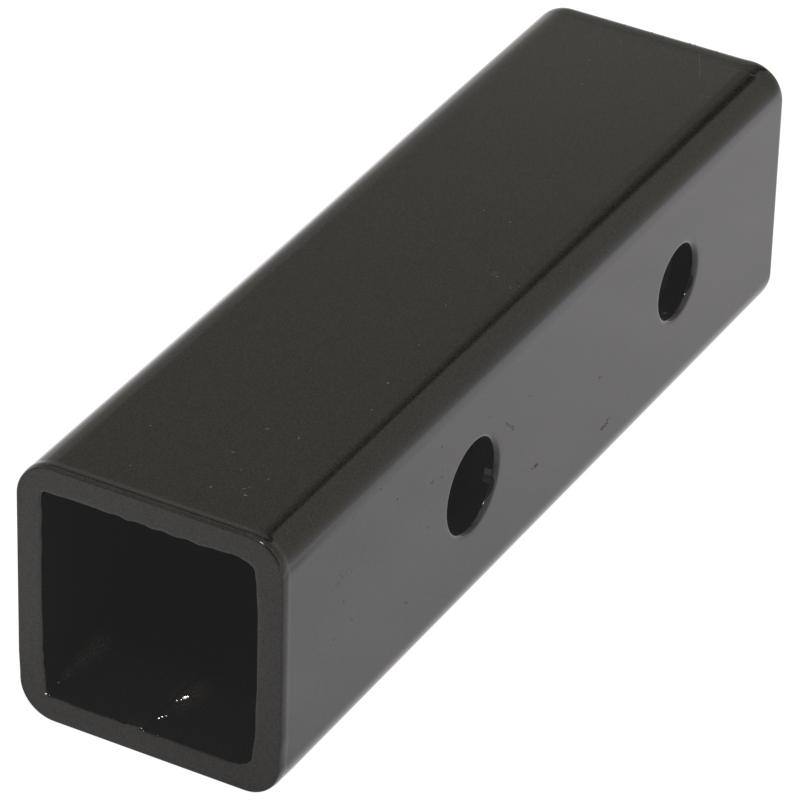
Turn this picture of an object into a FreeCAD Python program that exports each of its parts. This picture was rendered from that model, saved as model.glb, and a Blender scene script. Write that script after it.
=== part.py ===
import FreeCAD, Part
import math
import os

# Hitch receiver adapter: one length of welded square steel tube, painted all over.
# A receiver takes its outside, and a smaller shank slides into its bore.
# The tube lies along Y on its seam side, with the near open end at low Y and the floor at Z = 0.
# All sizes are millimetres.

Vector = FreeCAD.Vector

# Outside of the tube
outer_width = 63.5
outer_height = 63.5
body_length = 226.0
outer_corner_radius = 8.6
near_end_edge_radius = 1.2
far_end_edge_radius = 0.4

# Wall and bore
wall = 6.1
inner_corner_radius = 3.2
lip_break = 0.25

# Pin holes, each drilled across through both side walls, a touch above mid height as on the real tube,
# with their outer rims rounded over
near_hole_diameter = 21.4
near_hole_from_near_end = 80.4
far_hole_diameter = 17.5
far_hole_from_far_end = 50.3
hole_rise = 0.75
hole_rim_radius = 1.2
hole_inner_break = 0.3

# Weld flash that the tube mill leaves along the inside of the bottom wall
flash_width = 4.8
flash_height = 0.75
flash_offset = -3.6
flash_root = 1.5

# What follows from the sizes above
near_end_y = -body_length / 2
far_end_y = body_length / 2
middle_z = outer_height / 2
hole_height = middle_z + hole_rise
bore_width = outer_width - 2 * wall
bore_height = outer_height - 2 * wall
near_hole_y = near_end_y + near_hole_from_near_end
far_hole_y = far_end_y - far_hole_from_far_end
drill_overrun = wall


def rounded_rectangle(width, height, radius, y):
    """A closed wire in the XZ plane at y, centred on the tube's axis."""
    half_width = width / 2 - radius
    half_height = height / 2 - radius
    corners = [(1, 1, 0), (-1, 1, 90), (-1, -1, 180), (1, -1, 270)]
    arcs = []
    for side_x, side_z, start in corners:
        centre = Vector(side_x * half_width, y, middle_z + side_z * half_height)
        points = []
        for turn in (0, 45, 90):
            angle = math.radians(start + turn)
            points.append(centre + Vector(radius * math.cos(angle), 0, radius * math.sin(angle)))
        arcs.append(points)
    edges = []
    for index, points in enumerate(arcs):
        edges.append(Part.Arc(points[0], points[1], points[2]).toShape())
        following = arcs[(index + 1) % len(arcs)]
        edges.append(Part.LineSegment(points[2], following[0]).toShape())
    return Part.Wire(edges)


def prism(wire, length):
    return Part.Face(wire).extrude(Vector(0, length, 0))


def outer_body():
    """The outside of the tube, with the cut ends' outer edges rounded over."""
    profile = rounded_rectangle(outer_width, outer_height, outer_corner_radius, near_end_y)
    body = prism(profile, body_length)
    for end_y, radius in ((near_end_y, near_end_edge_radius), (far_end_y, far_end_edge_radius)):
        end_edges = []
        for edge in body.Edges:
            box = edge.BoundBox
            if box.YLength < 0.001 and abs(box.YMin - end_y) < 0.001:
                end_edges.append(edge)
        body = body.makeFillet(radius, end_edges)
    return body


def bore():
    """The square bore, opened a little at both mouths so that the lips are broken edges."""
    straight = prism(rounded_rectangle(bore_width, bore_height, inner_corner_radius, near_end_y), body_length)
    mouths = []
    for end_y, inwards in ((near_end_y, 1), (far_end_y, -1)):
        wide = rounded_rectangle(
            bore_width + 2 * lip_break,
            bore_height + 2 * lip_break,
            inner_corner_radius + lip_break,
            end_y,
        )
        narrow = rounded_rectangle(bore_width, bore_height, inner_corner_radius, end_y + inwards * lip_break)
        mouths.append(Part.makeLoft([wide, narrow], True, True))
    return straight.fuse(mouths)


def weld_flash():
    """The low crowned bead, rooted in the wall and sawn off flush with both ends."""
    floor_z = wall
    root_z = floor_z - min(flash_root, wall / 2)
    left = flash_offset - flash_width / 2
    right = flash_offset + flash_width / 2
    left_foot = Vector(left, near_end_y, floor_z)
    crown = Vector(flash_offset, near_end_y, floor_z + flash_height)
    right_foot = Vector(right, near_end_y, floor_z)
    right_root = Vector(right, near_end_y, root_z)
    left_root = Vector(left, near_end_y, root_z)
    profile = Part.Wire([
        Part.Arc(left_foot, crown, right_foot).toShape(),
        Part.LineSegment(right_foot, right_root).toShape(),
        Part.LineSegment(right_root, left_root).toShape(),
        Part.LineSegment(left_root, left_foot).toShape(),
    ])
    return prism(profile, body_length)


def pin_drill(diameter, y):
    """The cylinder that one pin hole removes from both side walls."""
    length = outer_width + 2 * drill_overrun
    start = Vector(-length / 2, y, hole_height)
    return Part.makeCylinder(diameter / 2, length, start, Vector(1, 0, 0))


def hole_edges(body, x):
    """The round edges of the pin holes that lie in the side face at x."""
    found = []
    for edge in body.Edges:
        box = edge.BoundBox
        on_face = abs(box.XMin - x) < 0.001 and abs(box.XMax - x) < 0.001
        if on_face and isinstance(edge.Curve, Part.Circle):
            found.append(edge)
    return found


def receiver_tube():
    body = outer_body().cut(bore()).fuse(weld_flash()).removeSplitter()
    body = body.cut(pin_drill(near_hole_diameter, near_hole_y))
    body = body.cut(pin_drill(far_hole_diameter, far_hole_y))
    outer_rims = hole_edges(body, -outer_width / 2) + hole_edges(body, outer_width / 2)
    body = body.makeFillet(hole_rim_radius, outer_rims)
    inner_rims = hole_edges(body, -bore_width / 2) + hole_edges(body, bore_width / 2)
    return body.makeChamfer(hole_inner_break, inner_rims)


tube = receiver_tube()
tube = tube.Solids[0]
os.makedirs("parts", exist_ok=True)
tube.exportStep("parts/receiver_tube.step")
box = tube.optimalBoundingBox(False, False)
print("receiver_tube valid", tube.isValid(), "volume %.1f mm3" % tube.Volume)
print("size %.2f x %.2f x %.2f mm" % (box.XLength, box.YLength, box.ZLength))
print("faces", len(tube.Faces), "solids", len(tube.Solids))
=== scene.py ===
import bpy
import math
import random
from mathutils import Euler, Matrix, Vector


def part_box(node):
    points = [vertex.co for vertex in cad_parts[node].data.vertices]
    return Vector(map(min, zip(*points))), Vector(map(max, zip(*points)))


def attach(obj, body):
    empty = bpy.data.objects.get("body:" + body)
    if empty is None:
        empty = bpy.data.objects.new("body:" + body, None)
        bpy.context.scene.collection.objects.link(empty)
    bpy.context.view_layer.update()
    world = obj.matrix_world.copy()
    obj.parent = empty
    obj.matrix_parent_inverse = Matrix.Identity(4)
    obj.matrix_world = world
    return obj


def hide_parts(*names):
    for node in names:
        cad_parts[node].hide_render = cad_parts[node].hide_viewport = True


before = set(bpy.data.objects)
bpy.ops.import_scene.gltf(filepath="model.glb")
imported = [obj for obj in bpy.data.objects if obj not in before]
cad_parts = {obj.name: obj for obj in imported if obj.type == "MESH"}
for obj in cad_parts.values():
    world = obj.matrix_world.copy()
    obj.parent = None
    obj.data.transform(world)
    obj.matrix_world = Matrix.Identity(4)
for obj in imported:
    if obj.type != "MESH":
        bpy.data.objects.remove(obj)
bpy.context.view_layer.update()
tubeLow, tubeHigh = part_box("receiver_tube")
tubeMiddle = (tubeLow + tubeHigh) / 2
tubeSize = tubeHigh - tubeLow
mm = 0.001
print("frame loaded, tube", [round(side, 4) for side in tubeSize])


# small helpers for working by hand in object and edit mode

def deselectAll():
    bpy.ops.object.select_all(action="DESELECT")


def makeActive(piece):
    deselectAll()
    piece.select_set(True)
    bpy.context.view_layer.objects.active = piece


def applyPlace(piece):
    makeActive(piece)
    bpy.ops.object.transform_apply(location=True, rotation=True, scale=True)


def addPrimitive(operator, name, **settings):
    deselectAll()
    operator(**settings)
    piece = bpy.context.object
    piece.name = name
    piece.data.name = name
    applyPlace(piece)
    return piece


def editPicked(piece, kind, wanted):
    # enters edit mode with only the wanted vertices, edges or faces selected
    makeActive(piece)
    bpy.ops.object.mode_set(mode="EDIT")
    bpy.ops.mesh.select_mode(type=kind)
    bpy.ops.mesh.select_all(action="DESELECT")
    bpy.ops.object.mode_set(mode="OBJECT")
    mesh = piece.data
    points = [vertex.co for vertex in mesh.vertices]
    if kind == "VERT":
        for vertex in mesh.vertices:
            vertex.select = bool(wanted(vertex.co))
    elif kind == "EDGE":
        for edge in mesh.edges:
            start, end = (points[index] for index in edge.vertices)
            edge.select = bool(wanted(start, end))
    else:
        for face in mesh.polygons:
            face.select = bool(wanted(face.center, face.normal))
    bpy.ops.object.mode_set(mode="EDIT")


def leaveEdit():
    bpy.ops.object.mode_set(mode="OBJECT")


def applyModifier(piece, kind, name, **settings):
    makeActive(piece)
    modifier = piece.modifiers.new(name, kind)
    for setting, value in settings.items():
        setattr(modifier, setting, value)
    bpy.ops.object.modifier_apply(modifier=name)


def removePiece(piece):
    bpy.data.objects.remove(piece, do_unlink=True)


# shader maths: a Value stands for a socket, so 1 - mask * 0.5 adds the Math nodes by itself

class Value:
    def __init__(self, shader, socket):
        self.shader = shader
        self.socket = socket

    def calc(self, operation, first, second=0.0):
        return self.shader.node("ShaderNodeMath", {"operation": operation}, {0: first, 1: second})

    def __add__(self, other):
        return self.calc("ADD", self, other)

    def __radd__(self, other):
        return self.calc("ADD", other, self)

    def __sub__(self, other):
        return self.calc("SUBTRACT", self, other)

    def __rsub__(self, other):
        return self.calc("SUBTRACT", other, self)

    def __mul__(self, other):
        return self.calc("MULTIPLY", self, other)

    def __rmul__(self, other):
        return self.calc("MULTIPLY", other, self)

    def __truediv__(self, other):
        return self.calc("DIVIDE", self, other)

    def __rtruediv__(self, other):
        return self.calc("DIVIDE", other, self)

    def __pow__(self, other):
        return self.calc("POWER", self, other)

    def abs(self):
        return self.calc("ABSOLUTE", self)

    def least(self, other):
        return self.calc("MINIMUM", self, other)

    def most(self, other):
        return self.calc("MAXIMUM", self, other)

    def step(self, start, end):
        # 0 before start and 1 after end, smoothly between; start may be the larger one
        low, high, first, last = (start, end, 0.0, 1.0) if start < end else (end, start, 1.0, 0.0)
        settings = {"interpolation_type": "SMOOTHSTEP", "clamp": True}
        inputs = {"Value": self, "From Min": low, "From Max": high, "To Min": first, "To Max": last}
        return self.shader.node("ShaderNodeMapRange", settings, inputs)


class Shader:
    def __init__(self, tree):
        self.tree = tree
        tree.nodes.clear()

    def node(self, kind, settings=None, inputs=None, output=0):
        made = self.tree.nodes.new(kind)
        for name, value in (settings or {}).items():
            if name == "stops":
                self.setStops(made.color_ramp, value)
            else:
                setattr(made, name, value)
        for name, value in (inputs or {}).items():
            if isinstance(value, Value):
                self.tree.links.new(value.socket, made.inputs[name])
            else:
                made.inputs[name].default_value = value
        return Value(self, made.outputs[output]) if made.outputs else None

    def setStops(self, ramp, stops):
        while len(ramp.elements) < len(stops):
            ramp.elements.new(0.5)
        for element, (position, colour) in zip(ramp.elements, stops):
            element.position = position
            element.color = colour

    def split(self, vector):
        made = self.node("ShaderNodeSeparateXYZ", None, {0: vector})
        return [Value(self, socket) for socket in made.socket.node.outputs]

    def vector(self, x, y, z):
        return self.node("ShaderNodeCombineXYZ", None, {0: x, 1: y, 2: z})

    def vectorMath(self, operation, first, second=(0, 0, 0), output=0):
        return self.node("ShaderNodeVectorMath", {"operation": operation}, {0: first, 1: second}, output)

    def scaled(self, vector, factor):
        return self.node("ShaderNodeVectorMath", {"operation": "SCALE"}, {0: vector, "Scale": factor})

    def noise(self, vector, size, detail=2.0):
        # size is the grain of the pattern in metres
        inputs = {"Vector": vector, "Scale": 1.0 / size, "Detail": detail}
        return self.node("ShaderNodeTexNoise", {"noise_dimensions": "3D"}, inputs)

    def mixColour(self, mask, first, second):
        return self.node("ShaderNodeMix", {"data_type": "RGBA"}, {0: mask, 6: first, 7: second}, 2)


# camera: the photograph's view, turned and rolled as the photographer held it

cameraPlan = {
    "target": (0.0, -5.05 * mm, 31.75 * mm),
    "azimuth": 28.478,        # degrees to the right of a look along +Y
    "elevation": 32.989,
    "roll": 1.647,
    "asideRight": -1.454 * mm,
    "asideUp": -2.934 * mm,
    "distance": 1.26364,
    "lens": 260.88,           # millimetres on a 36 mm sensor
    "sensor": 36.0,
    "clipStart": 0.05,
    "clipEnd": 50.0,
}


def addCamera(plan):
    azimuth, elevation, roll = (math.radians(plan[angle]) for angle in ("azimuth", "elevation", "roll"))
    level = math.cos(elevation)
    back = Vector((math.sin(azimuth) * level, -math.cos(azimuth) * level, math.sin(elevation)))
    levelRight = Vector((math.cos(azimuth), math.sin(azimuth), 0.0))
    levelUp = back.cross(levelRight)
    right = math.cos(roll) * levelRight + math.sin(roll) * levelUp
    up = math.cos(roll) * levelUp - math.sin(roll) * levelRight
    place = (Vector(plan["target"]) + plan["asideRight"] * right + plan["asideUp"] * up
             + plan["distance"] * back)
    deselectAll()
    bpy.ops.object.camera_add(location=place)
    camera = bpy.context.object
    camera.name = "productCamera"
    turn = Matrix((right, up, back)).transposed()
    camera.matrix_world = Matrix.Translation(place) @ turn.to_4x4()
    camera.data.lens = plan["lens"]
    camera.data.sensor_width = plan["sensor"]
    camera.data.sensor_fit = "HORIZONTAL"
    camera.data.clip_start = plan["clipStart"]
    camera.data.clip_end = plan["clipEnd"]
    bpy.context.scene.camera = camera
    return camera


addCamera(cameraPlan)
print("camera set")


# the tube: outer skin, bore, sawn ends, pin holes

tubePlan = {
    "wall": 6.1 * mm,
    "outerCorner": 8.6 * mm,
    "boreCorner": 3.2 * mm,
    "outerSegments": 24,
    "boreSegments": 8,
    "outerCuts": 39,              # rows of points across each flat of the outside
    "boreCuts": 63,
    # the near end, rounded under a bead of paint, in millimetres: how far back from the cut,
    # how far in from the top and bottom, and how far in from the sides
    "nearRings": (
        (6.5, 0.0, 0.0), (3.6, 0.0, 0.0), (3.1, -0.003, 0.0), (2.8, -0.012, -0.007), (2.52, -0.029, -0.021),
        (2.3, -0.046, -0.028), (2.08, -0.063, -0.027), (1.9, -0.075, -0.021), (1.73, -0.08, -0.012),
        (1.6, -0.079, -0.004), (1.48, -0.073, 0.005), (1.36, -0.063, 0.014), (1.24, -0.051, 0.024),
        (1.12, -0.038, 0.034), (1.0, -0.022, 0.046), (0.92, -0.006, 0.055), (0.84, 0.014, 0.065),
        (0.76, 0.034, 0.075), (0.68, 0.048, 0.086), (0.6, 0.057, 0.1), (0.52, 0.066, 0.115),
        (0.44, 0.075, 0.131), (0.36, 0.088, 0.151), (0.3, 0.104, 0.168), (0.24, 0.123, 0.187),
        (0.18, 0.146, 0.21), (0.125, 0.178, 0.238), (0.08, 0.222, 0.268), (0.045, 0.28, 0.3),
        (0.022, 0.348, 0.333), (0.008, 0.43, 0.366), (0.0, 0.54, 0.4),
    ),
    "farRings": (
        (6.5, 0.0, 0.0), (4.4, -0.006, 0.0), (3.6, -0.018, 0.0), (3.0, -0.024, 0.0), (2.6, -0.02, 0.0),
        (2.3, -0.011, 0.0), (2.0, 0.004, 0.0), (1.75, 0.022, 0.0), (1.5, 0.046, 0.0), (1.28, 0.078, 0.0),
        (1.08, 0.116, 0.002), (0.9, 0.158, 0.005), (0.72, 0.206, 0.01), (0.55, 0.256, 0.02),
        (0.4, 0.306, 0.035), (0.26, 0.362, 0.06), (0.15, 0.418, 0.1), (0.07, 0.475, 0.16),
        (0.025, 0.53, 0.24), (0.0, 0.6, 0.34),
    ),
    # the bore's mouth: how far back from the cut, and how far out all round
    "lipRings": (
        (0.9, 0.0), (0.5, 0.02), (0.3, 0.055), (0.19, 0.11), (0.12, 0.18), (0.08, 0.26), (0.055, 0.36),
        (0.035, 0.5), (0.02, 0.68), (0.008, 0.9), (0.0, 1.2),
    ),
    # rows of points along the bore, in millimetres from each end
    "boreStations": (1.6, 2.6, 4.0, 6.0, 9.0, 13.0, 18.0, 26.0, 40.0),
    "smoothAngle": 40,            # degrees; an edge sharper than this stays sharp
    "flatWeight": 80,             # how strongly the flats hold the shading
}

samePlace = 1e-6                  # metres; points this close lie in one plane
facesAxis = 0.9                   # a normal with this much along an axis faces that way


def endAt(side):
    # where an end lies along Y: the near one for -1, the far one for 1
    return tubeMiddle.y + side * tubeSize.y / 2


def runsAlong(start, end):
    # true for the edges that go from one end to the other
    return abs(start.y - end.y) > tubeSize.y / 2


def everyFace(centre, normal):
    return True


def squareTube(name, width, height, length, corner, segments, cuts):
    # an open square tube: a block whose ends are opened and whose long edges are rounded
    tube = addPrimitive(bpy.ops.mesh.primitive_cube_add, name, size=1.0, location=tubeMiddle,
                        scale=(width, length, height))
    editPicked(tube, "FACE", lambda centre, normal: abs(normal.y) > facesAxis)
    bpy.ops.mesh.delete(type="FACE")
    leaveEdit()
    editPicked(tube, "EDGE", runsAlong)
    bpy.ops.mesh.bevel(offset=corner, offset_type="OFFSET", segments=segments, profile=0.5, affect="EDGES",
                       clamp_overlap=False)
    leaveEdit()
    flat = min(width, height) - 2.2 * corner      # a little less than the flats

    def endsFlat(start, end):
        return abs(start.y - end.y) < samePlace and (start - end).length > flat

    editPicked(tube, "EDGE", endsFlat)
    bpy.ops.mesh.subdivide(number_cuts=cuts, quadcorner="STRAIGHT_CUT")
    leaveEdit()
    return tube


def pullEnd(tube, side, rings, width, height, sign):
    # draws one open end out ring by ring; sign -1 widens the rings and 1 narrows them
    # a ring of two numbers goes in by the same measure all round
    previousBack, previousIn, previousAside = rings[0][0], rings[0][1], rings[0][-1]
    here = endAt(side) - side * previousBack * mm
    editPicked(tube, "VERT", lambda point: abs(point.y - here) < samePlace)
    bpy.ops.mesh.select_mode(type="EDGE")
    for ring in rings[1:]:
        back, inset, aside = ring[0], ring[1], ring[-1]
        step = side * (previousBack - back) * mm
        bpy.ops.mesh.extrude_edges_move(TRANSFORM_OT_translate={"value": (0.0, step, 0.0)})
        halfWidth = width / 2 - sign * previousAside * mm
        halfHeight = height / 2 - sign * previousIn * mm
        growWidth = 1 - sign * (aside - previousAside) * mm / halfWidth
        growHeight = 1 - sign * (inset - previousIn) * mm / halfHeight
        bpy.ops.transform.resize(value=(growWidth, 1.0, growHeight), center_override=tuple(tubeMiddle))
        previousBack, previousIn, previousAside = back, inset, aside
    leaveEdit()


def buildTube(plan):
    outer = squareTube("receiverTube", tubeSize.x, tubeSize.z, tubeSize.y - 2 * plan["nearRings"][0][0] * mm,
                       plan["outerCorner"], plan["outerSegments"], plan["outerCuts"])
    for side, rings in ((-1, plan["nearRings"]), (1, plan["farRings"])):
        pullEnd(outer, side, rings, tubeSize.x, tubeSize.z, 1)
    boreWidth = tubeSize.x - 2 * plan["wall"]
    boreHeight = tubeSize.z - 2 * plan["wall"]
    bore = squareTube("bore", boreWidth, boreHeight, tubeSize.y - 2 * plan["lipRings"][0][0] * mm,
                      plan["boreCorner"], plan["boreSegments"], plan["boreCuts"])
    for side in (-1, 1):
        pullEnd(bore, side, plan["lipRings"], boreWidth, boreHeight, -1)
    for station in plan["boreStations"]:
        for side in (-1, 1):
            editPicked(bore, "FACE", everyFace)
            place = (0.0, tubeMiddle.y + side * (tubeSize.y / 2 - station * mm), 0.0)
            bpy.ops.mesh.bisect(plane_co=place, plane_no=(0.0, 1.0, 0.0))
            leaveEdit()
    editPicked(bore, "FACE", everyFace)
    bpy.ops.mesh.flip_normals()
    leaveEdit()
    # outside and bore become one piece, closed by the two end faces
    deselectAll()
    bore.select_set(True)
    outer.select_set(True)
    bpy.context.view_layer.objects.active = outer
    bpy.ops.object.join()
    for side in (-1, 1):
        place = endAt(side)

        def onEnd(start, end):
            return max(abs(start.y - place), abs(end.y - place)) < samePlace

        editPicked(outer, "EDGE", onEnd)
        bpy.ops.mesh.bridge_edge_loops()
        leaveEdit()
    editPicked(outer, "FACE", everyFace)
    bpy.ops.mesh.normals_make_consistent(inside=False)
    leaveEdit()
    return outer


tubePiece = buildTube(tubePlan)
print("tube skinned,", len(tubePiece.data.polygons), "faces")


# pin holes, drilled across both side walls

holePlan = {
    "near": {"fromEnd": 80.4 * mm, "diameter": 21.4 * mm, "height": 32.3 * mm},
    "far": {"fromEnd": 175.8 * mm, "diameter": 17.5 * mm, "height": 32.85 * mm},
    "segments": 96,
    "rim": 1.3 * mm,
    "rimSteps": 10,
    "rimTurn": 87,            # degrees of the rim's arc, which stops short of flat
    "dish": 0.012 * mm,       # how deep the rim ends under the side face
    "flare": ((0.45, 0.012), (1.0, 0.0)),   # the skirt round it: how far out and how deep, in millimetres
    "overrun": (1.0 * mm, 3.0 * mm),        # the drill's last ring: how far past the face, how much wider
    "burr": 0.3 * mm,
    "burrSegments": 2,
    "rimMargin": 0.02 * mm,   # how exactly the drilled edge is found
    "endGrid": 6.0 * mm,      # how much of the side walls keeps its rows of points at each end
    "flatFacing": 0.9999,     # how squarely a face points sideways where it is joined to its neighbours
    "flatAngle": 0.5,         # and how far they may differ, in degrees
}
pinHoles = (holePlan["near"], holePlan["far"])


def drillHole(piece, hole):
    # the drill flares out at both side faces, so that it rounds the rims as it cuts
    place = Vector((tubeMiddle.x, tubeLow.y + hole["fromEnd"], hole["height"]))
    radius = hole["diameter"] / 2
    rim = holePlan["rim"]
    straight = tubeSize.x / 2 - rim - holePlan["dish"]
    drill = addPrimitive(bpy.ops.mesh.primitive_cylinder_add, "drill", vertices=holePlan["segments"],
                         radius=radius, depth=2 * straight, location=place,
                         rotation=(0.0, math.radians(90), 0.0))
    profile = []
    for step in range(1, holePlan["rimSteps"] + 1):
        turn = math.radians(holePlan["rimTurn"]) * step / holePlan["rimSteps"]
        profile.append((straight + rim * math.sin(turn), radius + rim * (1 - math.cos(turn))))
    for out, depth in holePlan["flare"]:
        profile.append((tubeSize.x / 2 - depth * mm, radius + rim + out * mm))
    past, wider = holePlan["overrun"]
    profile.append((tubeSize.x / 2 + past, profile[-1][1] + wider))
    for side in (-1, 1):

        def onCap(centre, normal):
            # the flat cap of this side, and none of the cone on the other
            return side * normal.x > facesAxis and side * (centre.x - place.x) > 0

        editPicked(drill, "FACE", onCap)
        hereX, hereRadius = straight, radius
        for nextX, nextRadius in profile:
            step = side * (nextX - hereX)
            bpy.ops.mesh.extrude_region_move(TRANSFORM_OT_translate={"value": (step, 0.0, 0.0)})
            grow = nextRadius / hereRadius
            bpy.ops.transform.resize(value=(1.0, grow, grow), center_override=tuple(place))
            hereX, hereRadius = nextX, nextRadius
        leaveEdit()
    applyModifier(piece, "BOOLEAN", "drilled", operation="DIFFERENCE", object=drill, solver="EXACT")
    removePiece(drill)


def breakBurr(piece, hole):
    # the drilled edges in the bore
    middle = Vector((tubeLow.y + hole["fromEnd"], hole["height"]))
    radius = hole["diameter"] / 2
    inside = tubeSize.x / 2 - tubePlan["wall"]
    margin = holePlan["rimMargin"]

    def onRim(point):
        away = (Vector((point.y, point.z)) - middle).length
        return abs(away - radius) < margin and abs(abs(point.x - tubeMiddle.x) - inside) < margin

    editPicked(piece, "EDGE", lambda start, end: onRim(start) and onRim(end))
    bpy.ops.mesh.bevel(offset=holePlan["burr"], offset_type="OFFSET", segments=holePlan["burrSegments"],
                       profile=0.5, affect="EDGES", clamp_overlap=False, loop_slide=False)
    leaveEdit()


def flattenSides(piece):
    # the plain stretches of the two drilled walls become single faces before the drilling
    reach = tubeSize.y / 2 - holePlan["endGrid"]
    half = tubeSize.z / 2 - tubePlan["outerCorner"]

    def onPlainWall(centre, normal):
        if abs(normal.x) <= holePlan["flatFacing"]:
            return False
        return abs(centre.y - tubeMiddle.y) < reach and abs(centre.z - tubeMiddle.z) < half

    editPicked(piece, "FACE", onPlainWall)
    angle = math.radians(holePlan["flatAngle"])
    bpy.ops.mesh.dissolve_limited(angle_limit=angle, use_dissolve_boundaries=False)
    leaveEdit()


flattenSides(tubePiece)
for hole in pinHoles:
    drillHole(tubePiece, hole)
for hole in pinHoles:
    breakBurr(tubePiece, hole)
print("holes drilled,", len(tubePiece.data.polygons), "faces")


# the near mouth's lip, uneven as the saw and the paint left it
# each row: place (x, z), pull (x, z) and reach, all in millimetres

lipPlan = {
    "depth": 0.1 * mm,        # the lip's points lie this close to the cut
    "catch": 0.5 * mm,        # and those this close to the place are pulled
    "corners": ((-25.0, 56.8, -0.5, 0.5, 2.0), (-25.0, 6.7, -0.5, -0.5, 2.0)),
    "left": (
        (-25.9, 9.0, 0.7, 0.0, 9.0), (-25.9, 16.0, 0.35, 0.0, 1.8), (-25.9, 22.0, 0.2, 0.0, 6.0),
        (-25.9, 44.0, 0.25, 0.0, 4.0), (-25.9, 51.0, 0.3, 0.0, 5.0), (-25.4, 55.5, 0.6, 0.15, 3.0),
    ),
    "right": (
        (25.9, 8.5, -0.9, 0.0, 9.0), (25.9, 20.0, -0.25, 0.0, 7.0), (25.9, 51.0, -0.35, 0.0, 6.0),
        (25.6, 55.0, -0.55, 0.0, 4.0),
    ),
    "top": (
        (-22.0, 57.6, 0.0, -0.2, 2.5), (-10.0, 57.6, 0.0, -0.15, 2.5), (-8.0, 57.6, 0.0, 0.12, 1.2),
        (-5.0, 57.6, 0.0, -0.35, 1.8), (1.0, 57.6, 0.0, -0.3, 1.8), (6.0, 57.6, 0.0, -0.33, 2.5),
        (12.0, 57.6, 0.0, -0.35, 3.0), (20.0, 57.6, 0.0, 0.25, 2.5), (23.4, 57.4, -0.2, -0.35, 2.2),
    ),
    "bottom": (
        (-21.0, 5.9, 0.0, 0.3, 3.0), (-9.0, 5.9, 0.0, 0.25, 2.0), (-4.9, 5.9, 0.0, 0.55, 0.9),
        (-3.6, 5.9, 0.0, 0.62, 1.3), (-2.4, 5.9, 0.0, 0.5, 0.9), (-0.8, 5.9, 0.0, -0.3, 0.9),
        (1.0, 5.9, 0.0, -0.25, 1.2), (5.0, 5.9, 0.0, 0.12, 2.0), (22.0, 5.9, 0.0, 0.3, 2.5),
        (24.0, 6.4, 0.0, 0.6, 2.5),
    ),
}


def pullLip(piece, pulls):
    for x, z, moveX, moveZ, reach in pulls:
        place = Vector((x * mm, tubeLow.y, z * mm))

        def onLip(point):
            return abs(point.y - place.y) < lipPlan["depth"] and (point - place).length < lipPlan["catch"]

        editPicked(piece, "VERT", onLip)
        bpy.ops.transform.translate(value=(moveX * mm, 0.0, moveZ * mm), use_proportional_edit=True,
                                    proportional_edit_falloff="SMOOTH", proportional_size=reach * mm)
        leaveEdit()


# the top right corner of each end, drawn a little sharper, and at the near end also filed off
# each row: from and to angle, how far out and up, reach, both in millimetres, and falloff

wearPlan = {
    "band": 1.2 * mm,         # the corner's points lie this close to its arc
    "far": (
        (44, 64, 0.2, 7.5, "SMOOTH"),
    ),
    "near": (
        (46, 58, 0.25, 4.6, "SMOOTH"),
        (17, 80, -0.12, 0.75, "LINEAR"),
        (25, 74, -0.14, 0.75, "LINEAR"),
        (33, 67, -0.14, 0.75, "LINEAR"),
        (41, 60, -0.1, 0.75, "LINEAR"),
    ),
}


def wearCorner(piece, endPlace, wear):
    corner = tubePlan["outerCorner"]
    middle = tubeMiddle + Vector((1.0, 0.0, 1.0)) * (tubeSize.x / 2 - corner)
    for first, last, out, reach, falloff in wear:

        def onArc(point):
            if abs(point.y - endPlace) > samePlace:
                return False
            across = point.x - middle.x
            up = point.z - middle.z
            onBand = abs(math.hypot(across, up) - corner) < wearPlan["band"]
            return onBand and first < math.degrees(math.atan2(up, across)) < last

        editPicked(piece, "VERT", onArc)
        bpy.ops.transform.translate(value=(out * mm, 0.0, out * mm), use_proportional_edit=True,
                                    proportional_edit_falloff=falloff, proportional_size=reach * mm)
        leaveEdit()


for side in ("corners", "left", "right", "top", "bottom"):
    pullLip(tubePiece, lipPlan[side])
wearCorner(tubePiece, tubeHigh.y, wearPlan["far"])
wearCorner(tubePiece, tubeLow.y, wearPlan["near"])

makeActive(tubePiece)
bpy.ops.object.shade_smooth_by_angle(angle=math.radians(tubePlan["smoothAngle"]))
applyModifier(tubePiece, "WEIGHTED_NORMAL", "flatStaysFlat", keep_sharp=True, weight=tubePlan["flatWeight"])
print("lip and corners worn")


# weld flash along the inside of the bottom wall

flashPlan = {
    "place": -3.6 * mm,       # its middle, across the tube
    "width": 4.8 * mm,
    "height": 0.75 * mm,
    "root": 0.7 * mm,
    "short": 1.2 * mm,        # how much shorter it is than the tube
    "cuts": 150,
    "bevel": 0.62 * mm,
    "bevelSegments": 4,
    "lumps": 0.16 * mm,
    "lumpsFrom": -0.1 * mm,   # lumpy from here upwards, measured from the wall
    "seed": 5,
}


def buildFlash(plan):
    wallTop = tubeLow.z + tubePlan["wall"]
    low = wallTop - plan["root"]
    high = wallTop + plan["height"]
    flash = addPrimitive(bpy.ops.mesh.primitive_cube_add, "weldFlash", size=1.0,
                         location=(plan["place"], tubeMiddle.y, (low + high) / 2),
                         scale=(plan["width"], tubeSize.y - plan["short"], high - low))
    editPicked(flash, "EDGE", lambda start, end: runsAlong(start, end) and min(start.z, end.z) > wallTop)
    bpy.ops.mesh.bevel(offset=plan["bevel"], offset_type="OFFSET", segments=plan["bevelSegments"],
                       profile=0.5, affect="EDGES")
    leaveEdit()
    editPicked(flash, "EDGE", runsAlong)
    bpy.ops.mesh.subdivide(number_cuts=plan["cuts"])
    leaveEdit()
    editPicked(flash, "VERT", lambda point: point.z > wallTop + plan["lumpsFrom"])
    bpy.ops.transform.vertex_random(offset=plan["lumps"], seed=plan["seed"])
    bpy.ops.mesh.vertices_smooth(factor=0.5, repeat=1)
    leaveEdit()
    makeActive(flash)
    bpy.ops.object.shade_smooth()
    return flash


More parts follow.
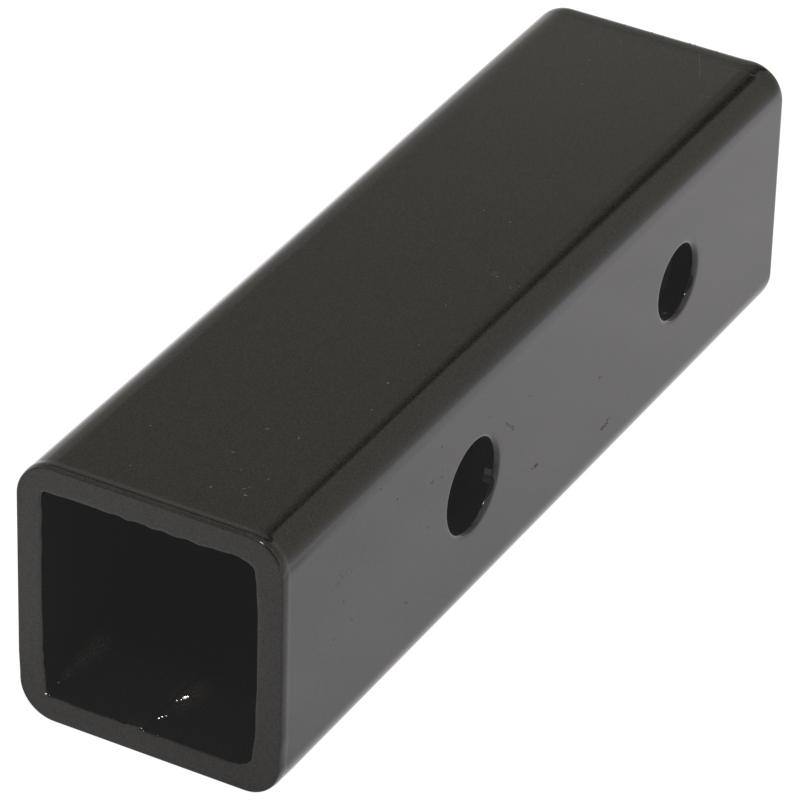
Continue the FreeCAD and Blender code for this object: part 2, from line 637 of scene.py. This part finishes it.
# small dabs: rounded flecks, roughened a little, with place and size in millimetres and turn in degrees

dabPlan = {
    "segments": 12,
    "rings": 8,
    "roughness": 0.12,        # as a share of the fleck's thickness
}


def addDabs(name, dabs, seed):
    piece = None
    for index, (place, size, facing, turn) in enumerate(dabs):
        normal = Vector(facing).normalized()
        spin = Euler((0.0, 0.0, math.radians(turn))).to_quaternion()
        lie = (normal.to_track_quat("Z", "Y") @ spin).to_euler()
        settings = {"segments": dabPlan["segments"], "ring_count": dabPlan["rings"], "radius": 0.5 * mm,
                    "location": tuple(c * mm for c in place), "rotation": tuple(lie), "scale": size}
        if piece is None:
            piece = addPrimitive(bpy.ops.mesh.primitive_uv_sphere_add, name, **settings)
            makeActive(piece)
            bpy.ops.object.mode_set(mode="EDIT")
            bpy.ops.mesh.select_all(action="SELECT")
        else:
            bpy.ops.mesh.select_all(action="DESELECT")
            bpy.ops.mesh.primitive_uv_sphere_add(**settings)
        bpy.ops.transform.vertex_random(offset=min(size) * dabPlan["roughness"] * mm, seed=seed + index)
    leaveEdit()
    makeActive(piece)
    bpy.ops.object.shade_smooth()
    return piece


# bright spatter on the bore's floor near the mouth: place, size and turn

spatterPlan = {
    "facing": (0.25, -0.62, 0.74),
    "seed": 3,
    "beads": (
        ((0.35, -98.9, 6.4), (1.15, 0.85, 0.12), 20), ((0.75, -98.3, 6.35), (0.7, 0.6, 0.1), 50),
        ((0.05, -99.8, 6.3), (0.5, 0.45, 0.12), 0), ((-0.5, -100.6, 6.35), (0.5, 0.45, 0.12), 40),
        ((-0.2, -107.0, 6.3), (0.6, 0.45, 0.12), 0), ((-0.5, -107.9, 6.35), (0.5, 0.4, 0.12), 30),
        ((0.3, -106.2, 6.2), (0.5, 0.35, 0.12), 0), ((-1.9, -112.6, 6.25), (0.7, 0.3, 0.1), -20),
        ((2.3, -112.6, 5.95), (0.4, 0.3, 0.1), 0), ((5.6, -112.6, 5.95), (0.4, 0.3, 0.1), 0),
        ((-24.9, -113.0, 6.6), (0.6, 0.45, 0.1), 0), ((-24.2, -109.2, 7.4), (0.3, 0.25, 0.12), 0),
    ),
}


# dark nibs in the side face's paint, placed by (y, z), and pale dust on the top face, placed by (x, y)
# single ones: place, length, width and, where it isn't 0, turn
# webs of smaller ones: place, spread, turn, number and size of one

nibPlan = {
    "single": (
        (-61.5, 19.5, 0.8, 0.45), (-60.6, 19.1, 0.4, 0.4), (-84.9, 29.4, 0.6, 0.3), (-84.1, 28.9, 0.3, 0.3),
        (-91.9, 28.5, 0.9, 0.2), (-92.1, 35.9, 0.4, 0.25), (-81.0, 26.7, 0.25, 0.25),
        (-67.0, 12.4, 0.25, 0.25), (-67.5, 11.4, 0.25, 0.25), (-68.2, 10.6, 0.25, 0.25),
        (-43.9, 11.1, 0.3, 0.3), (-47.2, 11.2, 0.25, 0.25), (-47.5, 50.9, 0.65, 0.5),
        (-47.0, 43.1, 0.55, 0.65), (-46.6, 44.2, 0.3, 0.5), (-51.4, 44.1, 1.1, 0.5),
        (-50.6, 44.4, 0.5, 0.4), (-66.3, 48.6, 0.55, 0.75), (-73.5, 55.1, 0.45, 0.5),
        (-75.2, 46.8, 0.3, 0.25), (-72.8, 45.4, 0.3, 0.25), (-65.8, 39.1, 0.3, 0.25),
        (-67.0, 38.5, 0.3, 0.25), (-53.6, 48.8, 0.25, 0.25), (-52.7, 33.6, 0.3, 0.7),
        (25.4, 28.1, 0.85, 0.5), (26.8, 27.4, 0.35, 0.35), (-8.2, 41.7, 0.8, 0.3), (-7.3, 41.3, 0.4, 0.3),
        (-26.8, 46.7, 0.4, 0.25), (-25.7, 46.2, 0.3, 0.25), (-45.6, 36.5, 0.25, 0.25),
    ),
    "webs": (
        (-88.9, 42.4, 2.6, 1.1, 0, 26, 0.22), (-84.0, 41.8, 1.6, 0.3, 0, 5, 0.22),
        (-80.0, 41.0, 0.6, 0.3, 0, 3, 0.22), (-88.4, 35.7, 0.7, 0.5, 0, 7, 0.22),
        (-98.5, 19.9, 1.6, 1.2, 60, 5, 0.2), (-84.6, 54.7, 0.9, 0.7, 0, 10, 0.22),
        (-17.0, 39.0, 2.6, 0.35, -42, 16, 0.4), (-15.4, 37.4, 0.9, 0.5, 0, 6, 0.32),
        (28.9, 13.3, 1.7, 0.42, 8, 15, 0.55), (30.6, 14.0, 0.9, 0.35, 0, 6, 0.35),
        (-3.9, 21.4, 1.1, 0.36, 0, 12, 0.6), (-6.0, 21.6, 0.9, 0.25, 0, 4, 0.35),
    ),
    "thickness": 0.05,
    "seed": 11,
}

dustPlan = {
    "single": (
        (6.8, -77.2, 0.9, 0.35, 20), (14.1, -76.9, 0.3, 1.0, 20), (5.2, -88.3, 0.9, 0.3, 0),
        (9.9, -92.9, 0.4, 0.4, 0), (16.4, -93.1, 0.4, 0.35, 0), (7.9, -101.6, 0.65, 0.55, 0),
        (14.0, -98.6, 0.3, 1.0, -30), (14.6, -97.6, 0.6, 0.25, 30), (15.4, -100.6, 0.9, 0.55, 0),
        (-10.1, -103.4, 0.35, 0.35, 0), (-14.3, -88.7, 0.4, 0.35, 0), (19.4, -49.1, 0.7, 0.6, 0),
        (21.6, -59.8, 0.5, 0.35, 0), (-0.5, 5.5, 0.4, 0.35, 0), (14.9, -16.1, 0.4, 0.35, 0),
        (17.7, -32.9, 0.45, 0.35, 0), (3.0, 22.5, 0.45, 0.35, 0), (10.3, 21.0, 0.4, 0.35, 0),
        (-8.1, 93.0, 0.6, 0.35, 0), (-4.6, 82.5, 0.7, 0.35, 20), (13.4, 106.0, 0.1, 9.0, 27),
        (16.0, 101.0, 0.1, 5.0, 24), (22.0, 92.4, 3.2, 0.1, 8),
    ),
    "webs": (
        (11.0, 107.5, 12.0, 4.5, 0, 46, 0.24), (-8.0, 104.0, 12.0, 6.0, 0, 26, 0.22),
        (4.0, 111.6, 20.0, 0.7, 0, 34, 0.3), (18.3, 0.3, 1.3, 0.7, 0, 9, 0.32),
        (23.9, -2.0, 1.1, 0.6, 30, 7, 0.3), (25.4, 107.0, 2.2, 0.3, -20, 5, 0.3),
        (-13.5, 110.2, 2.2, 0.5, 0, 9, 0.4), (-4.5, 111.2, 1.6, 0.4, 0, 7, 0.35),
    ),
    "thickness": 0.04,
    "seed": 23,
}


def scatterWeb(chance, middle, spread, turn, number, size):
    # loose flecks strewn over a turned oval
    spots = []
    slope = math.radians(turn)
    for count in range(number):
        along = chance.uniform(-1, 1) * spread[0]
        across = chance.uniform(-1, 1) * spread[1]
        u = middle[0] + along * math.cos(slope) - across * math.sin(slope)
        v = middle[1] + along * math.sin(slope) + across * math.cos(slope)
        long = size * chance.uniform(0.7, 1.4)
        wide = size * chance.uniform(0.6, 1.0)
        spots.append((u, v, long, wide, chance.uniform(-40, 40)))
    return spots


def dabsOnFace(plan, onSide):
    chance = random.Random(plan["seed"])
    spots = [tuple(spot) + (0.0,) * (5 - len(spot)) for spot in plan["single"]]
    for u, v, spreadU, spreadV, turn, number, size in plan["webs"]:
        spots += scatterWeb(chance, (u, v), (spreadU, spreadV), turn, number, size)
    dabs = []
    for u, v, long, wide, turn in spots:
        if onSide:
            place, facing = (tubeHigh.x / mm, u, v), (1.0, 0.0, 0.0)
        else:
            place, facing = (u, v, tubeHigh.z / mm), (0.0, 0.0, 1.0)
        dabs.append((place, (long, wide, plan["thickness"]), facing, turn))
    return dabs


flashPiece = buildFlash(flashPlan)
spatterDabs = [(place, size, spatterPlan["facing"], turn) for place, size, turn in spatterPlan["beads"]]
spatterPiece = addDabs("weldSpatter", spatterDabs, spatterPlan["seed"])
nibPiece = addDabs("paintNibs", dabsOnFace(nibPlan, True), nibPlan["seed"])
dustPiece = addDabs("dustFlecks", dabsOnFace(dustPlan, False), dustPlan["seed"])
print("flash, spatter and flecks added")

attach(tubePiece, "root")
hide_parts("receiver_tube")
for piece in (flashPiece, spatterPiece, nibPiece, dustPiece):
    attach(piece, "root")


# black paint

paintPlan = {
    "colour": (0.0150, 0.0142, 0.0118, 1.0),
    # the bore's colour, darker than the outside paint: painted shade, which with the painted glow below sets
    # the bore's dark tone
    "boreShadeColour": (0.0035, 0.0032, 0.003, 1.0),
    "borePaintedGlow": (0.0122, 0.0119, 0.0119, 1.0),    # painted glow: emission that stands in for stray light in the shaded bore
    "roughness": 0.06,
    "refraction": 1.5,
    "dullRoughness": 0.75,
    "dullSpecular": 0.1,
    "boreEdge": (0.5 * mm, 0.2 * mm),             # the bore's look fades in this far outside its walls
    "boreMouth": (0.1 * mm, 0.5 * mm),            # and this far in from the cut
    "holeEdge": (0.6 * mm, 0.4 * mm),             # and this far outside the walls of a pin hole
    "paintedShadeInHole": (0.15 * mm, 0.9 * mm),          # how deep in a pin hole the bore's colour and painted glow set in
    "duller": (0.4 * mm, 1.25 * mm),              # how deep the gloss weakens, and by how much
    "dullerShare": 0.35,
    "dullInHole": (2.75 * mm, 3.05 * mm),         # how deep it ends
    "grainSize": 0.4 * mm,
    "grain": 3.6,
    "grainLeast": 0.1,              # the darkest spot, as a share of the colour
    "grainInGlow": 0.1,
    "peelSize": 1.6 * mm,
    "peelDepth": 0.0012 * mm,
    "fineSize": 0.5 * mm,
    "fineDepth": 0.002 * mm,
    "edgeReach": (3.2 * mm, 0.4 * mm),            # where ragged paint sets in and is full, from the near end
    "edgeStretch": 0.35,            # the ragged strands are drawn out across the tube
    "edgeSize": 1.1 * mm,
    "edgeDepth": 0.02 * mm,
    # lighter rust-brown patches on the bore's floor and along its lower left corner: partly rust, partly
    # painted light where a lit streak runs along that corner
    "rustAndLightColour": (0.036, 0.030, 0.025, 1.0),
    # place and reach, in millimetres
    "rustAndLight": (
        ((0.8, -97.5, 6.1), 4.2), ((-24.9, -93.0, 7.2), 3.8), ((-24.9, -99.0, 6.8), 2.4),
        ((-24.9, -105.0, 6.6), 1.7),
    ),
    "rustAndLightShape": (1.0, 0.5, 1.0),   # spots are twice as long along the tube
    "rustAndLightCore": 0.2,                # the part of the reach that is fully tinted
    "rustAndLightSize": 0.3 * mm,
    "rustAndLightBreak": (0.38, 0.62),
}


def boreMask(plan, x, y, z):
    # 1 on the bore's walls: inside its rounded square and past the mouth
    straight = tubeSize.x / 2 - tubePlan["wall"] - tubePlan["boreCorner"]
    overX = ((x - tubeMiddle.x).abs() - straight).most(0.0)
    overZ = ((z - tubeMiddle.z).abs() - straight).most(0.0)
    outsideBore = (overX * overX + overZ * overZ) ** 0.5 - tubePlan["boreCorner"]
    depth = tubeSize.y / 2 - (y - tubeMiddle.y).abs()
    return outsideBore.step(*plan["boreEdge"]) * depth.step(*plan["boreMouth"])


def holeMask(plan, x, y, z, start, end):
    # 1 on the walls of the pin holes, further in from the side faces than start to end
    inHole = None
    for hole in pinHoles:
        alongY = y - (tubeLow.y + hole["fromEnd"])
        alongZ = z - hole["height"]
        away = (alongY * alongY + alongZ * alongZ) ** 0.5
        here = away.step(*(hole["diameter"] / 2 + margin for margin in plan["holeEdge"]))
        inHole = here if inHole is None else inHole.most(here)
    depth = tubeSize.x / 2 - (x - tubeMiddle.x).abs()
    return inHole * depth.step(start, end)


def rustAndLightMask(shader, place, plan):
    # the lighter patches: rust, and painted light along the bore's lower left corner
    rustAndLight = None
    for middle, reach in plan["rustAndLight"]:
        offset = shader.vectorMath("SUBTRACT", place, tuple(c * mm for c in middle))
        squeezed = shader.vectorMath("MULTIPLY", offset, plan["rustAndLightShape"])
        away = shader.vectorMath("LENGTH", squeezed, (0, 0, 0), 1)
        here = away.step(reach * mm, reach * plan["rustAndLightCore"] * mm)
        rustAndLight = here if rustAndLight is None else rustAndLight.most(here)
    return rustAndLight * shader.noise(place, plan["rustAndLightSize"]).step(*plan["rustAndLightBreak"])


def paintMaterial(plan):
    material = bpy.data.materials.new("blackPaint")
    material.use_nodes = True
    shader = Shader(material.node_tree)
    place = shader.node("ShaderNodeTexCoord", None, None, 3)
    x, y, z = shader.split(place)
    bore = boreMask(plan, x, y, z)
    duller = holeMask(plan, x, y, z, *plan["duller"]) * plan["dullerShare"]
    inside = bore.most(holeMask(plan, x, y, z, *plan["dullInHole"])).most(duller)
    paintedShadeMask = bore.most(holeMask(plan, x, y, z, *plan["paintedShadeInHole"]))
    grain = (1 + (shader.noise(place, plan["grainSize"], 1.0) - 0.5) * plan["grain"]).most(plan["grainLeast"])
    # the bore and the pin holes' walls glow faintly: painted light standing in for stray light in their shade
    paintedGlowLevel = 1 - plan["grainInGlow"] + grain * plan["grainInGlow"]
    paintedGlow = shader.scaled(shader.mixColour(paintedShadeMask, (0, 0, 0, 1), plan["borePaintedGlow"]), paintedGlowLevel)
    # the bore's darker colour is painted shade; its lighter rust-brown patches are partly rust, partly
    # painted light
    boreShadeColour = shader.mixColour(rustAndLightMask(shader, place, plan), plan["boreShadeColour"], plan["rustAndLightColour"])
    colour = shader.scaled(shader.mixColour(paintedShadeMask, plan["colour"], boreShadeColour), grain)
    nearEdge = (y - tubeLow.y).step(*plan["edgeReach"])
    drawnOut = shader.vector(x * plan["edgeStretch"], y, z)
    ragged = shader.noise(drawnOut, plan["edgeSize"]) * nearEdge * plan["edgeDepth"]
    fine = shader.noise(place, plan["fineSize"], 1.0) * plan["fineDepth"]
    peel = shader.noise(place, plan["peelSize"], 1.0) * plan["peelDepth"] + fine + ragged
    bump = shader.node("ShaderNodeBump", None, {"Height": peel, "Distance": 1.0, "Strength": 1.0})
    gloss = shader.node("ShaderNodeBsdfPrincipled", None, {
        "Base Color": colour, "Roughness": plan["roughness"], "IOR": plan["refraction"], "Normal": bump,
        "Emission Color": paintedGlow, "Emission Strength": 1.0})
    dull = shader.node("ShaderNodeBsdfPrincipled", None, {
        "Base Color": colour, "Roughness": plan["dullRoughness"], "IOR": plan["refraction"],
        "Specular IOR Level": plan["dullSpecular"], "Emission Color": paintedGlow, "Emission Strength": 1.0})
    surface = shader.node("ShaderNodeMixShader", None, {0: inside, 1: gloss, 2: dull})
    shader.node("ShaderNodeOutputMaterial", None, {"Surface": surface})
    return material


# what the flecks are made of: one colour broken by a fine noise

fleckLooks = {
    "bareSpatter": {"colour": (0.5, 0.48, 0.45), "variation": 0.5, "size": 0.3 * mm, "roughness": 0.2,
                    "metallic": 1.0, "specular": 0.5},
    "darkNib": {"colour": (0.034, 0.032, 0.030), "variation": 0.5, "size": 0.2 * mm, "roughness": 0.6,
                "metallic": 0.0, "specular": 0.4},
    "paleDust": {"colour": (0.13, 0.127, 0.118), "variation": 0.6, "size": 0.2 * mm, "roughness": 0.8,
                 "metallic": 0.0, "specular": 0.2},
}


def fleckMaterial(name):
    look = fleckLooks[name]
    material = bpy.data.materials.new(name)
    material.use_nodes = True
    shader = Shader(material.node_tree)
    place = shader.node("ShaderNodeTexCoord", None, None, 3)
    mottled = 1 + (shader.noise(place, look["size"]) - 0.5) * look["variation"]
    tone = shader.scaled(look["colour"], mottled)
    surface = shader.node("ShaderNodeBsdfPrincipled", None, {
        "Base Color": tone, "Roughness": look["roughness"], "Metallic": look["metallic"],
        "Specular IOR Level": look["specular"]})
    shader.node("ShaderNodeOutputMaterial", None, {"Surface": surface})
    return material


def giveMaterial(piece, material):
    piece.data.materials.clear()
    piece.data.materials.append(material)


blackPaint = paintMaterial(paintPlan)
giveMaterial(tubePiece, blackPaint)
giveMaterial(flashPiece, blackPaint)
giveMaterial(spatterPiece, fleckMaterial("bareSpatter"))
giveMaterial(nibPiece, fleckMaterial("darkNib"))
giveMaterial(dustPiece, fleckMaterial("paleDust"))
print("paint on")


# floor and light

studioPlan = {
    "floorSize": 12.0,
    "floorColour": (0.9, 0.9, 0.9, 1.0),
    "floorGlow": 1.2,
    "glowShare": 0.8,
    "floorTint": (1.03, 1.0, 1.03),
    # how bright the white floor looks in the paint, by the distance across from the tube's middle, in metres
    "mirroredRight": (
        (0.0, 0.9), (0.04, 0.915), (0.05, 0.96), (0.068, 0.965), (0.09, 1.1), (0.125, 1.27), (0.19, 1.2),
        (0.27, 0.8), (0.5, 0.7), (0.9, 0.66),
    ),
    "mirroredLeft": (
        (0.0, 0.93), (0.06, 1.1), (0.1, 1.4), (0.2, 1.4), (0.35, 1.3), (0.65, 1.13), (0.9, 1.0),
    ),
    "middleBlend": 0.03,      # half the width over which the left floor turns into the right one
    "patchSlant": 1.06,       # a slanting patch of light on the left floor
    "patchPlace": 0.036,
    "patchReach": 0.135,
    "patchBase": 0.68,
    "patchGain": 0.65,
    "rightBase": 0.94,        # the right floor brightens from the near end to the far one
    "rightRise": (-0.06, 0.25),
    "rightGain": 0.16,
    # and it is dimmer off the near end's right corner, which only rounded edges mirror
    "cornerSlope": (1.75, 1.05),
    "cornerReach": (0.17, 0.11),
    "cornerLoss": 0.33,
    "cornerLeast": 0.002,
    "cloudSize": 0.02,
    "cloudDepth": 0.12,
    "frontFrom": (-0.001, -0.004),  # the floor in front of the near end, which that end mirrors
    "frontTint": (1.024, 1.0, 0.957),
    "frontBase": 0.69,
    "frontRise": (0.0, 0.035),
    "frontGain": 0.13,
    "frontFall": (0.04, 0.09),
    "frontLoss": 0.05,
    "frontLean": (-0.06, 0.08),     # darker from left to right between these
    "leanLoss": 2.1,
    "frontAside": (0.08, 0.5),      # and lighter again past them
    "asideGain": 0.35,
    "keyFrom": Vector((0.091, -0.455, 0.886)),
    "keyDistance": 1.5,
    "keySize": 0.16,
    "keyPower": 4.5,
    "stripFrom": Vector((0.14, -0.16, 0.95)),
    "stripLength": 1.1,
    "stripWidth": 0.12,
    "stripDistance": 1.3,
    "stripPower": 0.5,
}


def grey(level, warmth):
    # a warm grey has a little more red and less blue
    return (level * (1 + 0.3 * warmth), level, level * (1 - warmth), 1.0)


def floorMaterial(plan):
    material = bpy.data.materials.new("paleFloor")
    material.use_nodes = True
    shader = Shader(material.node_tree)
    rays = shader.node("ShaderNodeLightPath").socket.node.outputs
    camera = Value(shader, rays["Is Camera Ray"])
    mirrored = Value(shader, rays["Is Glossy Ray"]).most(Value(shader, rays["Is Transmission Ray"]))
    matt = shader.node("ShaderNodeBsdfDiffuse", None, {"Color": plan["floorColour"]})
    glow = shader.node("ShaderNodeEmission", None, {"Color": (1, 1, 1, 1), "Strength": plan["floorGlow"]})
    seen = shader.node("ShaderNodeMixShader", None, {0: camera * plan["glowShare"], 1: matt, 2: glow})
    place = shader.node("ShaderNodeTexCoord", None, None, 3)
    x, y = shader.split(place)[:2]
    # what the paint mirrors: each side of the floor and the front have their own tones
    sides = []
    for stops in (plan["mirroredLeft"], plan["mirroredRight"]):
        shades = []
        for across, level in stops:
            shades.append((across, tuple(level * tint for tint in plan["floorTint"]) + (1.0,)))
        sides.append(shader.node("ShaderNodeValToRGB", {"stops": shades}, {0: x.abs()}))
    patch = (y + x * plan["patchSlant"] + plan["patchPlace"]).abs()
    leftLevel = plan["patchBase"] + patch.step(plan["patchReach"], 0.0) * plan["patchGain"]
    behindFront = y + tubeSize.y / 2
    slope = behindFront / (x - tubeSize.x / 2).most(plan["cornerLeast"])
    dimmer = slope.step(*plan["cornerSlope"]) * x.step(*plan["cornerReach"]) * plan["cornerLoss"]
    rightLevel = (plan["rightBase"] + y.step(*plan["rightRise"]) * plan["rightGain"]) * (1 - dimmer)
    clouds = 1 + (shader.noise(place, plan["cloudSize"]) - 0.5) * plan["cloudDepth"]
    left = shader.scaled(sides[0], leftLevel)
    right = shader.scaled(sides[1], rightLevel * clouds)
    floorShade = shader.mixColour(x.step(-plan["middleBlend"], plan["middleBlend"]), left, right)
    away = 0 - behindFront
    leanFrom, leanTo = plan["frontLean"]
    frontLevel = plan["frontBase"] + away.step(*plan["frontRise"]) * plan["frontGain"]
    frontLevel = frontLevel - away.step(*plan["frontFall"]) * plan["frontLoss"]
    frontLevel = frontLevel - x.most(leanFrom).least(leanTo) * plan["leanLoss"]
    frontLevel = frontLevel + x.step(*plan["frontAside"]) * plan["asideGain"]
    front = shader.scaled(plan["frontTint"], frontLevel)
    floorShade = shader.mixColour(behindFront.step(*plan["frontFrom"]), floorShade, front)
    white = shader.node("ShaderNodeEmission", None, {"Color": floorShade, "Strength": 1.0})
    surface = shader.node("ShaderNodeMixShader", None, {0: mirrored, 1: seen, 2: white})
    shader.node("ShaderNodeOutputMaterial", None, {"Surface": surface})
    return material


def addFloor(plan):
    floor = addPrimitive(bpy.ops.mesh.primitive_plane_add, "floor", size=plan["floorSize"],
                         location=(0.0, 0.0, tubeLow.z))
    giveMaterial(floor, floorMaterial(plan))
    return floor


# the room: what the paint mirrors from above the floor, as height, level and warmth

roomPlan = {
    "leftWall": (
        (0.0, 0.95, 0.06), (0.05, 0.87, 0.06), (0.16, 0.62, 0.06), (0.27, 0.50, 0.06), (0.37, 0.49, 0.05),
        (0.494, 0.495, 0.055), (0.504, 0.435, 0.085), (0.515, 0.39, 0.11), (0.53, 0.375, 0.12),
        (0.56, 0.36, 0.12), (0.605, 0.4, 0.12), (0.66, 0.41, 0.12), (1.0, 0.38, 0.12),
    ),
    "rightWall": ((0.0, 0.68, 0.12), (0.05, 0.62, 0.12), (0.2, 0.585, 0.12), (1.0, 0.57, 0.12)),
    "front": (
        (0.0, 0.24, 0.06), (0.12, 0.3, 0.06), (0.27, 0.47, 0.06), (0.6, 0.56, 0.06), (1.0, 0.56, 0.06),
    ),
    "wallBlend": 0.04,
    "wallPlace": 0.05,        # where the left wall turns into the right one, as x over z
    "bend": (1.13, 0.2, 0.9),       # the seam bends aside by y over z: from, over how much, how steeply
    "heightLeast": 0.02,
    "seamFrom": -0.27,        # the dark seam along the tube overhead, as x over z: fades in, then stops short
    "seamFull": 0.1,
    "seamTo": 0.28,
    "seamShade": 0.82,
    "seamHeight": (0.2, 0.3),       # both seams end below this height
    "crossSeam": 0.87,        # and the one across it, as y over z
    "crossBlend": 0.02,
    "crossEdge": (0.1, 0.06),
    "crossShade": 0.76,
    "darkPlace": Vector((0.52, -0.72, 0.46)),    # the unlit part of the room, behind the camera
    "darkReach": (0.93, 0.975),
    "lowDark": Vector((0.74, -0.66, 0.13)),      # and its low part, which only the near top corner mirrors
    "lowReach": (0.9, 0.96),
    "unlitShade": 0.85,
    "openX": (0.35, 0.6),     # the open side to its right
    "openY": (0.6, 0.35),
    "openLevel": (0.92, 0.05),      # its level and warmth
    "cloudSize": 0.02,
    "cloudDepth": 0.1,
}


def addWorld(plan):
    # a pale room: bright at the floor, dimmer up the walls, with dark seams between its panels of top light
    world = bpy.data.worlds.new("studio")
    bpy.context.scene.world = world
    world.use_nodes = True
    shader = Shader(world.node_tree)
    direction = shader.node("ShaderNodeTexCoord", None, None, 0)
    x, y, z = shader.split(direction)
    height = z.most(plan["heightLeast"])
    walls = []
    for part in ("leftWall", "rightWall", "front"):
        shades = tuple((place, grey(level, warmth)) for place, level, warmth in plan[part])
        walls.append(shader.node("ShaderNodeValToRGB", {"stops": shades}, {0: z}))
    along = y / height
    over = x / height
    bendFrom, bendOver, bendBy = plan["bend"]
    across = over - (along - bendFrom).most(0.0).least(bendOver) * bendBy
    toRight = (across - plan["wallPlace"]).step(-plan["wallBlend"], plan["wallBlend"])
    room = shader.mixColour(toRight, walls[0], walls[1])
    highUp = height.step(*plan["seamHeight"])
    fadeIn = ((over - plan["seamFrom"]) / (plan["seamFull"] - plan["seamFrom"])).most(0.0).least(1.0)
    seamShade = fadeIn * across.step(plan["seamTo"], plan["seamFull"]) * highUp
    room = shader.mixColour(seamShade * plan["seamShade"], room, (0, 0, 0, 1))
    front = along.step(plan["crossSeam"] + plan["crossBlend"], plan["crossSeam"] - plan["crossBlend"])
    room = shader.mixColour(front, room, walls[2])
    openSide = x.step(*plan["openX"]) * y.step(*plan["openY"])
    room = shader.mixColour(openSide, room, grey(*plan["openLevel"]))
    clouds = 1 + (shader.noise(direction, plan["cloudSize"]) - 0.5) * plan["cloudDepth"]
    room = shader.scaled(room, clouds)
    crossShade = (along - plan["crossSeam"]).abs().step(*plan["crossEdge"]) * highUp
    towardsDark = shader.vectorMath("DOT_PRODUCT", direction, plan["darkPlace"].normalized(), 1)
    towardsLow = shader.vectorMath("DOT_PRODUCT", direction, plan["lowDark"].normalized(), 1)
    unlit = towardsDark.step(*plan["darkReach"]).most(towardsLow.step(*plan["lowReach"]))
    shade = (crossShade * (1 - openSide) * plan["crossShade"]).most(unlit * plan["unlitShade"])
    room = shader.mixColour(shade, room, (0, 0, 0, 1))
    surface = shader.node("ShaderNodeBackground", None, {"Color": room, "Strength": 1.0})
    shader.node("ShaderNodeOutputWorld", None, {"Surface": surface})


def addLamp(name, towards, distance, length, width, power):
    deselectAll()
    bpy.ops.object.light_add(type="AREA", location=tubeMiddle + towards.normalized() * distance)
    lamp = bpy.context.object
    lamp.name = name
    lamp.data.shape = "RECTANGLE"
    lamp.data.size = length
    lamp.data.size_y = width
    lamp.data.energy = power
    lamp.rotation_euler = towards.to_track_quat("Z", "Y").to_euler()
    return lamp


addFloor(studioPlan)
addWorld(roomPlan)
addLamp("keyLight", studioPlan["keyFrom"], studioPlan["keyDistance"], studioPlan["keySize"],
        studioPlan["keySize"], studioPlan["keyPower"])
addLamp("topStrip", studioPlan["stripFrom"], studioPlan["stripDistance"], studioPlan["stripLength"],
        studioPlan["stripWidth"], studioPlan["stripPower"])
bpy.context.scene.view_settings.view_transform = "Standard"
print("studio set")
